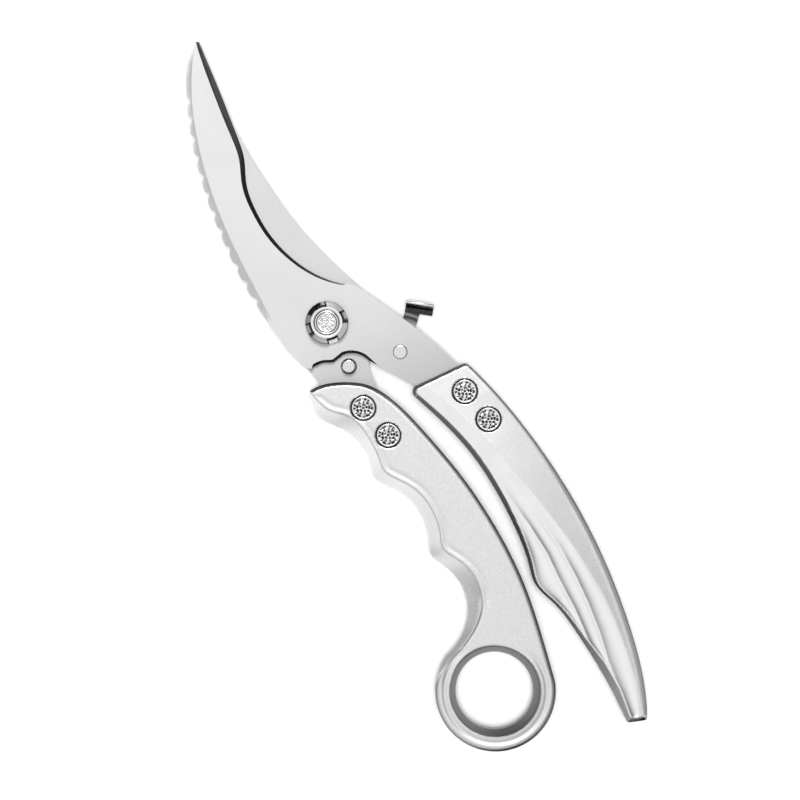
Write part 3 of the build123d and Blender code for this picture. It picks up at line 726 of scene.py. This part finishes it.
def front_blade(material):
    """The front blade, with the edge over the stop pin's path broken steeply."""
    builder = bmesh.new()
    builder.from_mesh(NODES["front_blade"].data)
    bmesh.ops.remove_doubles(builder, verts=builder.verts, dist=WELD_REACH * MM)
    bmesh.ops.dissolve_limit(builder, angle_limit=math.radians(0.5), verts=builder.verts,
                             edges=builder.edges)
    path = [edge for edge in builder.edges if on_path(edge.verts[0]) and on_path(edge.verts[1])
            and edge.calc_face_angle(0) > 1]
    bevelled = bmesh.ops.bevel(builder, geom=path, offset=PATH_CHAMFER * MM, segments=1,
                               offset_type="OFFSET", profile=0.5, affect="EDGES")
    for vert in bevelled["verts"]:
        if abs(vert.co.z / MM - (BLADE_TOP - PATH_CHAMFER)) < 0.05:
            vert.co.z = (BLADE_TOP - PATH_DEPTH) * MM
    mesh = bpy.data.meshes.new("front_blade_ground")
    builder.to_mesh(mesh)
    builder.free()
    obj = bpy.data.objects.new("front_blade_ground", mesh)
    mesh.materials.append(material)
    ease_edges(obj, 0.12)
    link(obj, "palm_side")
    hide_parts("front_blade")


# ------------------------------------------------------------------ handle rivets
HEAD_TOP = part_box("palm_rivet_front_stud")[1][2] / MM
HEAD_UNDER = HANDLE_TOP - 1.6
HEAD_R = 3.76
HEAD_FLAT_R = 3.6  # the stamped face, inside the rounded rim
STUD_R, STUD_END = 1.68, 2.1
TUBE_R, TUBE_BORE_R, TUBE_END = 2.48, 1.72, 1.62
ROSETTE = [(0.0, 1, 0.5), (1.05, 5, 0.0), (1.95, 9, 0.3), (2.8, 13, 0.0)]
PIT_R = 0.32
PIT_DEPTH = 0.42
PIT_SHADE = 2.8  # painted shade: how fast the pits darken with depth, per millimetre


def rosette(radius, angles, z):
    """The pits stamped in a rivet's face, in uneven rings."""
    if z < HEAD_TOP - LEVEL_GAP or radius > HEAD_FLAT_R:
        return np.zeros(len(angles))
    wander = 0.10 * np.sin(7 * angles + 2.3 * radius) + 0.06 * np.sin(11 * angles)
    return dimples(radius, angles + wander, ROSETTE, PIT_R, PIT_DEPTH)


def rivets(material):
    """Each handle rivet: a stud from above in a tube with the same head from below."""
    head = dense((0, HEAD_TOP), (HEAD_FLAT_R, HEAD_TOP), 0.11)
    head += [(HEAD_FLAT_R, HEAD_TOP), (3.68, HEAD_TOP - 0.05), (3.74, HEAD_TOP - 0.16),
             (HEAD_R, HEAD_TOP - 0.35), (HEAD_R, HEAD_UNDER)]
    stud = [(STUD_R, HEAD_UNDER), (STUD_R, STUD_END + 0.3), (STUD_R - 0.28, STUD_END),
            (0, STUD_END)]
    tube = [(TUBE_R, HEAD_UNDER), (TUBE_R, TUBE_END), (TUBE_BORE_R, TUBE_END),
            (TUBE_BORE_R, HEAD_UNDER), (0, HEAD_UNDER)]
    for node in [n for n in NODES if n.endswith("stud") or n.endswith("socket")]:
        flip = node.endswith("socket")
        outline = head + (tube if flip else stud)
        obj = turned_mesh(node + "_stamped", outline, 144, rosette, centre_of(node), flip)
        sharpen(obj, 40)
        # Painted shade: the stamped pits darken with depth
        heights = np.abs(get_points(obj.data)[:, 2] - HANDLE_TOP / 2)
        pit = HEAD_TOP - HANDLE_TOP / 2 - heights
        keep_values(obj.data, "painted_shade", np.clip(1 - PIT_SHADE * pit, 0.05, 1))
        obj.data.materials.append(material)
        body = "ring_side" if node.startswith("ring") else "palm_side"
        link(obj, body)
        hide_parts(node)


# ------------------------------------------------------------------ pivot nut
NUT_LOW, NUT_HIGH = (corner[2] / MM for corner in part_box("pivot_nut"))
NUT_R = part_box("pivot_nut")[1][0] / MM
NUT_BORE_R = 4.05
NUT_LAND = 5.1  # radius of the flat land round the bore
RIM_RISE = 2.12  # height of the nut's upright rim
NOTCH_COUNT = 4
NOTCH_TURN = 170.0
NOTCH_HALF = 1.9  # half a notch's width
NOTCH_WALL = 0.38  # how far a notch's wall leans
NOTCH_FLOOR = NUT_LOW + 0.7
# Painted light and shade on the nut's bevel, by angle: light on one side, black on the other
NUT_PAINTED_TONES = [(-180, 1), (-124, 1), (-119, 0.12), (-110, 0.15), (-104, 0.62), (-60, 0.55),
             (-16, 0.62), (-9, 0.02), (34, 0.02), (42, 0.4), (88, 0.5), (94, 0.12), (102, 0.15),
             (108, 0.7), (145, 0.9), (180, 1)]


def notch_share(radius, angles):
    """1 on the floors of the nut's notches, 0 between them, and less than 1 up their walls."""
    turn = (angles - math.radians(NOTCH_TURN)) * NOTCH_COUNT / (2 * math.pi)
    across = np.abs((turn + 0.5) % 1.0 - 0.5) * 2 * math.pi * radius / NOTCH_COUNT
    share = np.clip((NOTCH_HALF - across) / NOTCH_WALL, 0, 1)
    return np.where(radius < NUT_LAND + 0.05, 0, share)


def nut_notches(radius, angles, z):
    """Square notches in the bevelled rim, for a pin spanner."""
    if z < NUT_LOW + 0.45:
        return np.zeros(len(angles))
    return (NOTCH_FLOOR - z) * notch_share(radius, angles)


def nut_painted_shade(points):
    """Painted light and shade on the nut: by angle on its bevel with uneven streaks, darker at its
    outer rim, painted light on one notch's floor, and dark on the notches' walls and inner ends.
    """
    radius = np.hypot(points[:, 0], points[:, 1])
    angles = np.arctan2(points[:, 1], points[:, 0])
    bevel = step(radius, NUT_LAND, NUT_LAND + 0.25)
    streaks = np.sin(radius * 9 + 2 * np.sin(3 * angles)) * np.sin(5 * angles + radius)
    painted_tone = np.interp(np.degrees(angles), *zip(*NUT_PAINTED_TONES))
    # Painted shade at the outer rim
    rim = step(radius, NUT_R - 0.4, NUT_R - 0.15)
    tone = painted_tone * (0.88 + 0.16 * streaks) * (1 - 0.5 * rim)
    notch = notch_share(radius, angles)
    # Painted light on the floor of the notch nearest the notches' turn, and the bevel's painted tone
    # on the others
    bright = np.abs((np.degrees(angles) - NOTCH_TURN + 180) % 360 - 180) < 30
    tone = np.where(notch >= 0.95, np.where(bright, 0.9, 0.8 * painted_tone), tone)
    # Painted shade on the notches' walls and inner ends
    wall = (notch > 0.05) & (notch < 0.95)
    inner_end = (notch > 0.5) & (radius < NUT_LAND + 0.7)
    return np.where(wall | inner_end, 0.05, 1 - bevel * (1 - tone))


def pivot_nut(material):
    rim = (NUT_R - 0.12, NUT_LOW + RIM_RISE)
    shoulder = (NUT_LAND + 0.1, NUT_HIGH - 0.12)
    land = (NUT_LAND - 0.06, NUT_HIGH)
    mouth = (NUT_BORE_R + 0.35, NUT_HIGH)
    outline = [(NUT_BORE_R, NUT_LOW), (NUT_R - 0.15, NUT_LOW), (NUT_R, NUT_LOW + 0.15),
               (NUT_R, NUT_LOW + 0.5)]
    outline += dense(rim, shoulder, 0.08) + [shoulder] + dense(land, mouth, 0.2) + [mouth]
    outline += [(NUT_BORE_R + 0.13, NUT_HIGH - 0.1), (NUT_BORE_R, NUT_HIGH - 0.35)]
    obj = turned_mesh("pivot_nut_turned", outline[::-1], 288, nut_notches)
    sharpen(obj, 35)
    keep_values(obj.data, "painted_shade", nut_painted_shade(get_points(obj.data)))
    obj.data.materials.append(material)
    link(obj, "ring_side")
    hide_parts("pivot_nut")


# ------------------------------------------------------------------ pivot bolt and pins
BOLT_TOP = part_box("pivot_bolt")[1][2] / MM
BOLT_HEAD_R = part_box("pivot_bolt")[1][0] / MM
BOLT_HEAD_TOP = 2.99  # just under the rear blade
BOLT_R = 3.97  # a little less than the nut's bore
BOLT_END_R = 3.66  # the bolt's end, inside its chamfer
GROOVE_R, GROOVE_WIDTH, GROOVE_DEPTH = 3.25, 0.12, 0.16  # turned round the bolt's end
KEYED_R = 3.28  # within the keyed shank
HEAD_RING_R = 4.2  # a ring turned in the underside of the head
MARK_R, MARK_DEPTH = 0.24, 0.12
BOLT_MARKS = [(0.7, 4, 0.0), (1.35, 9, 0.4), (1.95, 13, 0.1), (2.55, 17, 0.6)]
PIN_R = 2.22  # a little less than its hole


def bolt_face(radius, angles, z):
    """The rough end of the bolt, with a groove turned round it."""
    if z < BOLT_TOP - LEVEL_GAP or radius > BOLT_END_R - 0.06:
        return np.zeros(len(angles))
    wander = 0.3 * np.sin(4 * angles + 2 * radius) + 0.12 * np.sin(9 * angles)
    marks = dimples(radius, angles + wander, BOLT_MARKS, MARK_R, MARK_DEPTH)
    return marks - GROOVE_DEPTH * hump(radius, GROOVE_R, GROOVE_WIDTH)


def pivot_bolt(material):
    outline = dense((0, BOLT_TOP), (BOLT_END_R, BOLT_TOP), 0.1)
    outline += [(BOLT_END_R, BOLT_TOP), (BOLT_R - 0.12, BOLT_TOP - 0.08),
                (BOLT_R, BOLT_TOP - 0.3), (BOLT_R, MATE_Z),
                (KEYED_R, MATE_Z), (KEYED_R, BOLT_HEAD_TOP),
                (BOLT_HEAD_R - 0.1, BOLT_HEAD_TOP), (BOLT_HEAD_R, BOLT_HEAD_TOP - 0.14),
                (BOLT_HEAD_R, 0.5), (BOLT_HEAD_R - 0.12, 0.2), (BOLT_HEAD_R - 0.45, 0.02),
                (HEAD_RING_R + 0.4, 0.0), (HEAD_RING_R + 0.2, 0.0), (HEAD_RING_R, 0.15),
                (HEAD_RING_R - 0.2, 0.0), (0, 0.0)]
    obj = turned_mesh("pivot_bolt_turned", outline, 160, bolt_face)
    sharpen(obj, 35)
    points = get_points(obj.data)
    # Painted shade: the marks on the bolt's end darken with depth
    pit = np.clip(1 - PIT_SHADE * (BOLT_TOP - points[:, 2]), 0.3, 1)
    keep_values(obj.data, "painted_shade", np.where(points[:, 2] > MATE_Z, pit, 1))
    obj.data.materials.append(material)
    link(obj, "ring_side")
    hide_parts("pivot_bolt")


def small_pin(node, outline, body, material):
    """A turned pin in place of a CAD one, from an outline about the pin's own axis."""
    obj = turned_mesh(node + "_turned", outline, 96, centre=centre_of(node))
    sharpen(obj, 35)
    obj.data.materials.append(material)
    link(obj, body)
    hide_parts(node)


def stop_pin(material):
    """The stop pin: its collar is held in the rear blade, and its foot is where the lock hooks."""
    low, high = (corner[2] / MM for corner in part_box("stop_pin"))
    collar_r, foot_r = 2.58, 1.98
    outline = dense((0, high), (1.9, high), 0.3)
    outline += [(1.9, high), (1.97, high - 0.03), (2.15, high - 0.2), (PIN_R, high - 0.42),
                (PIN_R, MATE_Z - 0.8), (collar_r, MATE_Z - 1.2), (collar_r, MATE_Z - 3),
                (foot_r, MATE_Z - 3), (foot_r, low + 0.3), (foot_r - 0.28, low), (0, low)]
    small_pin("stop_pin", outline, "ring_side", material)


def lock_rivet(material):
    """The lock lever's rivet, flush with the front blade, with its head under the lever."""
    low, high = (corner[2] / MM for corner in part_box("lock_rivet"))
    top_r, shank_r, head_r = 2.2, 2.33, 3.0
    outline = dense((0, high), (2.05, high), 0.3)
    outline += [(2.05, high), (2.16, high - 0.05), (top_r, high - 0.16), (top_r, MATE_Z + 1.2),
                (shank_r, MATE_Z + 0.9), (shank_r, low + 0.8), (head_r, low + 0.8),
                (head_r, low + 0.25), (head_r - 0.25, low), (0, low)]
    small_pin("lock_rivet", outline, "palm_side", material)


# ------------------------------------------------------------------ torsion spring
WIRE_R = 0.45
COIL_R = 6.85
COIL_START = 250
COIL_TURNS = 1.4
COIL_STEPS = 36  # points in each turn
LEG_END_R = 9.3


def torsion_spring(material):
    """The spring's wire: a coil with a leg at each end, not attached to either blade's body. On the
    shears its lower leg stays in the rear blade, and its upper leg turns with the front.
    """
    low, high = (corner[2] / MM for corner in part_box("torsion_spring"))
    low, high = low + WIRE_R, high - WIRE_R
    start = math.radians(COIL_START)
    sweep = 2 * math.pi * COIL_TURNS
    steps = round(COIL_TURNS * COIL_STEPS)
    leg = [LEG_END_R, (LEG_END_R + COIL_R) / 2]
    places = [(r, start, low) for r in leg]
    places += [(COIL_R, start + sweep * i / steps, low + (high - low) * i / steps)
               for i in range(steps + 1)]
    places += [(r, start + sweep, high) for r in leg[::-1]]
    curve = bpy.data.curves.new("wire_path", "CURVE")
    curve.dimensions = "3D"
    curve.bevel_depth = WIRE_R * 0.98 * MM
    curve.bevel_resolution = 5
    curve.use_fill_caps = True
    spline = curve.splines.new("NURBS")
    spline.points.add(len(places) - 1)
    for point, (radius, angle, z) in zip(spline.points, places):
        point.co = (*metres((radius * math.cos(angle), radius * math.sin(angle), z)), 1)
    spline.order_u = 3
    spline.use_endpoint_u = True
    mesh = evaluated_mesh(bpy.data.objects.new("wire_path", curve))
    mesh.materials.append(material)
    obj = bpy.data.objects.new("torsion_spring_wire", mesh)
    bpy.context.collection.objects.link(obj)
    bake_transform(obj)
    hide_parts("torsion_spring")


# ------------------------------------------------------------------ stage
FLOOR_HALF = 2500.0
PAPER_LIGHT = 2.8
KEY_LIGHT = 1.0
# The soft box overhead: its light by angle from its middle
SOFT_BOX = [(0, 0.95), (12, 0.90), (26, 0.78), (40, 0.54), (52, 0.25), (62, 0.09), (80, 0.10)]
SOFT_BOX_AXIS = Vector((-0.05, 0.27, 1.0)).normalized()
SIDE_PANEL = 0.42  # a dimmer panel on the finger side
SIDE_PANEL_AXIS = Vector((0.1, 0.94, 0.30)).normalized()
SIDE_PANEL_EDGE = (62, 38)  # from its middle: where its light begins, and where it is full
BACKDROP = 0.92


def add_floor():
    """A sheet of pale paper."""
    mesh = bpy.data.meshes.new("floor")
    builder = bmesh.new()
    bmesh.ops.create_grid(builder, x_segments=8, y_segments=8, size=FLOOR_HALF * MM)
    builder.to_mesh(mesh)
    builder.free()
    floor = bpy.data.objects.new("floor", mesh)
    bpy.context.collection.objects.link(floor)
    material, tree, shader = new_material("floor_paper")
    fibre = noise(tree, (2, 2, 2), 2.0)
    feed(tree, shader.inputs["Base Color"], grey(tree, spread(tree, fibre, 0.87, 0.89)))
    shader.inputs["Roughness"].default_value = 0.9
    shader.inputs["Specular IOR Level"].default_value = 0.0
    mesh.materials.append(material)


def add_sun(name, energy, spread_angle, direction, glossy=True, diffuse=True):
    """A broad far light that shines from that direction."""
    data = bpy.data.lights.new(name, "SUN")
    data.energy = energy
    data.angle = math.radians(spread_angle)
    lamp = bpy.data.objects.new(name, data)
    lamp.rotation_euler = Vector(direction).to_track_quat("Z", "Y").to_euler()
    lamp.visible_glossy = glossy
    lamp.visible_diffuse = diffuse
    bpy.context.collection.objects.link(lamp)


def add_lights():
    """A broad light for the paper, which metal doesn't mirror, and a key light for the metal,
    from the blades' end."""
    add_sun("paper_light", PAPER_LIGHT, 20, (0, 0, 1), glossy=False)
    add_sun("key_light", KEY_LIGHT, 16, (0.41, -0.24, 0.88), diffuse=False)


def nearness(tree, direction, axis):
    """The cosine of the angle between a direction and an axis."""
    return add_node(tree, "ShaderNodeVectorMath", {0: direction, 1: axis},
                    operation="DOT_PRODUCT").outputs["Value"]


def add_world():
    """What the metal mirrors: the soft box and the side panel. The camera sees a plain backdrop."""
    world = bpy.data.worlds.new("studio")
    world.use_nodes = True
    tree = world.node_tree
    direction = add_node(tree, "ShaderNodeTexCoord").outputs["Generated"]
    overhead = add_node(tree, "ShaderNodeValToRGB", {"Fac": nearness(tree, direction, SOFT_BOX_AXIS)})
    stops = overhead.color_ramp.elements
    stops.remove(stops[0])  # the one left is at 1, the cosine of no angle
    for angle, light in SOFT_BOX:
        stop = stops.new(math.cos(math.radians(angle))) if angle else stops[0]
        stop.color = (light, light, light, 1)
    panel = spread(tree, nearness(tree, direction, SIDE_PANEL_AXIS), 0.0, SIDE_PANEL,
                   [math.cos(math.radians(edge)) for edge in SIDE_PANEL_EDGE])
    seen = combine(tree, "MAXIMUM", overhead.outputs["Color"], panel)
    rays = add_node(tree, "ShaderNodeLightPath")
    mix = add_node(tree, "ShaderNodeMix",
                   {"Factor": rays.outputs["Is Camera Ray"], "A": seen,
                    "B": (BACKDROP, BACKDROP, BACKDROP, 1)}, data_type="RGBA")
    feed(tree, tree.nodes["Background"].inputs["Color"], mix.outputs["Result"])
    bpy.context.scene.world = world
    bpy.context.scene.view_settings.view_transform = "Standard"


# ------------------------------------------------------------------ the whole model
def cad_looks(turned, wire):
    """Gives the CAD nodes that are shown as they are their materials and eased edges."""
    rear_steel = ground_steel("rear_steel", 0.66, 0.92, -1)
    looks = {"rear_blade": rear_steel, "lock_lever": lever_steel_painted_dark(), "lock_washer": wire}
    for node, obj in NODES.items():
        obj.data.materials.clear()
        obj.data.materials.append(looks.get(node, turned))
    ease_edges(NODES["rear_blade"], 0.12)
    ease_edges(NODES["lock_lever"], 0.15)


def main():
    add_camera()
    add_world()
    add_lights()
    add_floor()
    cast = cast_metal()
    turned = turned_steel("turned_steel")
    wire = turned_steel("wire_steel", 0.40, 0.3)
    cad_looks(turned, wire)
    front_blade(ground_steel("front_steel", 0.72, 0.76, 1))
    ring_handle(cast)
    palm_handle(cast)
    rivets(turned_steel("rivet_steel", 0.84, 0.26, with_painted_shade=True))
    pivot_nut(turned_steel("nut_steel", 0.86, 0.52, with_painted_shade=True))
    pivot_bolt(turned_steel("pit_shaded_steel", 0.86, with_painted_shade=True))
    stop_pin(turned)
    lock_rivet(turned)
    torsion_spring(wire)


main()
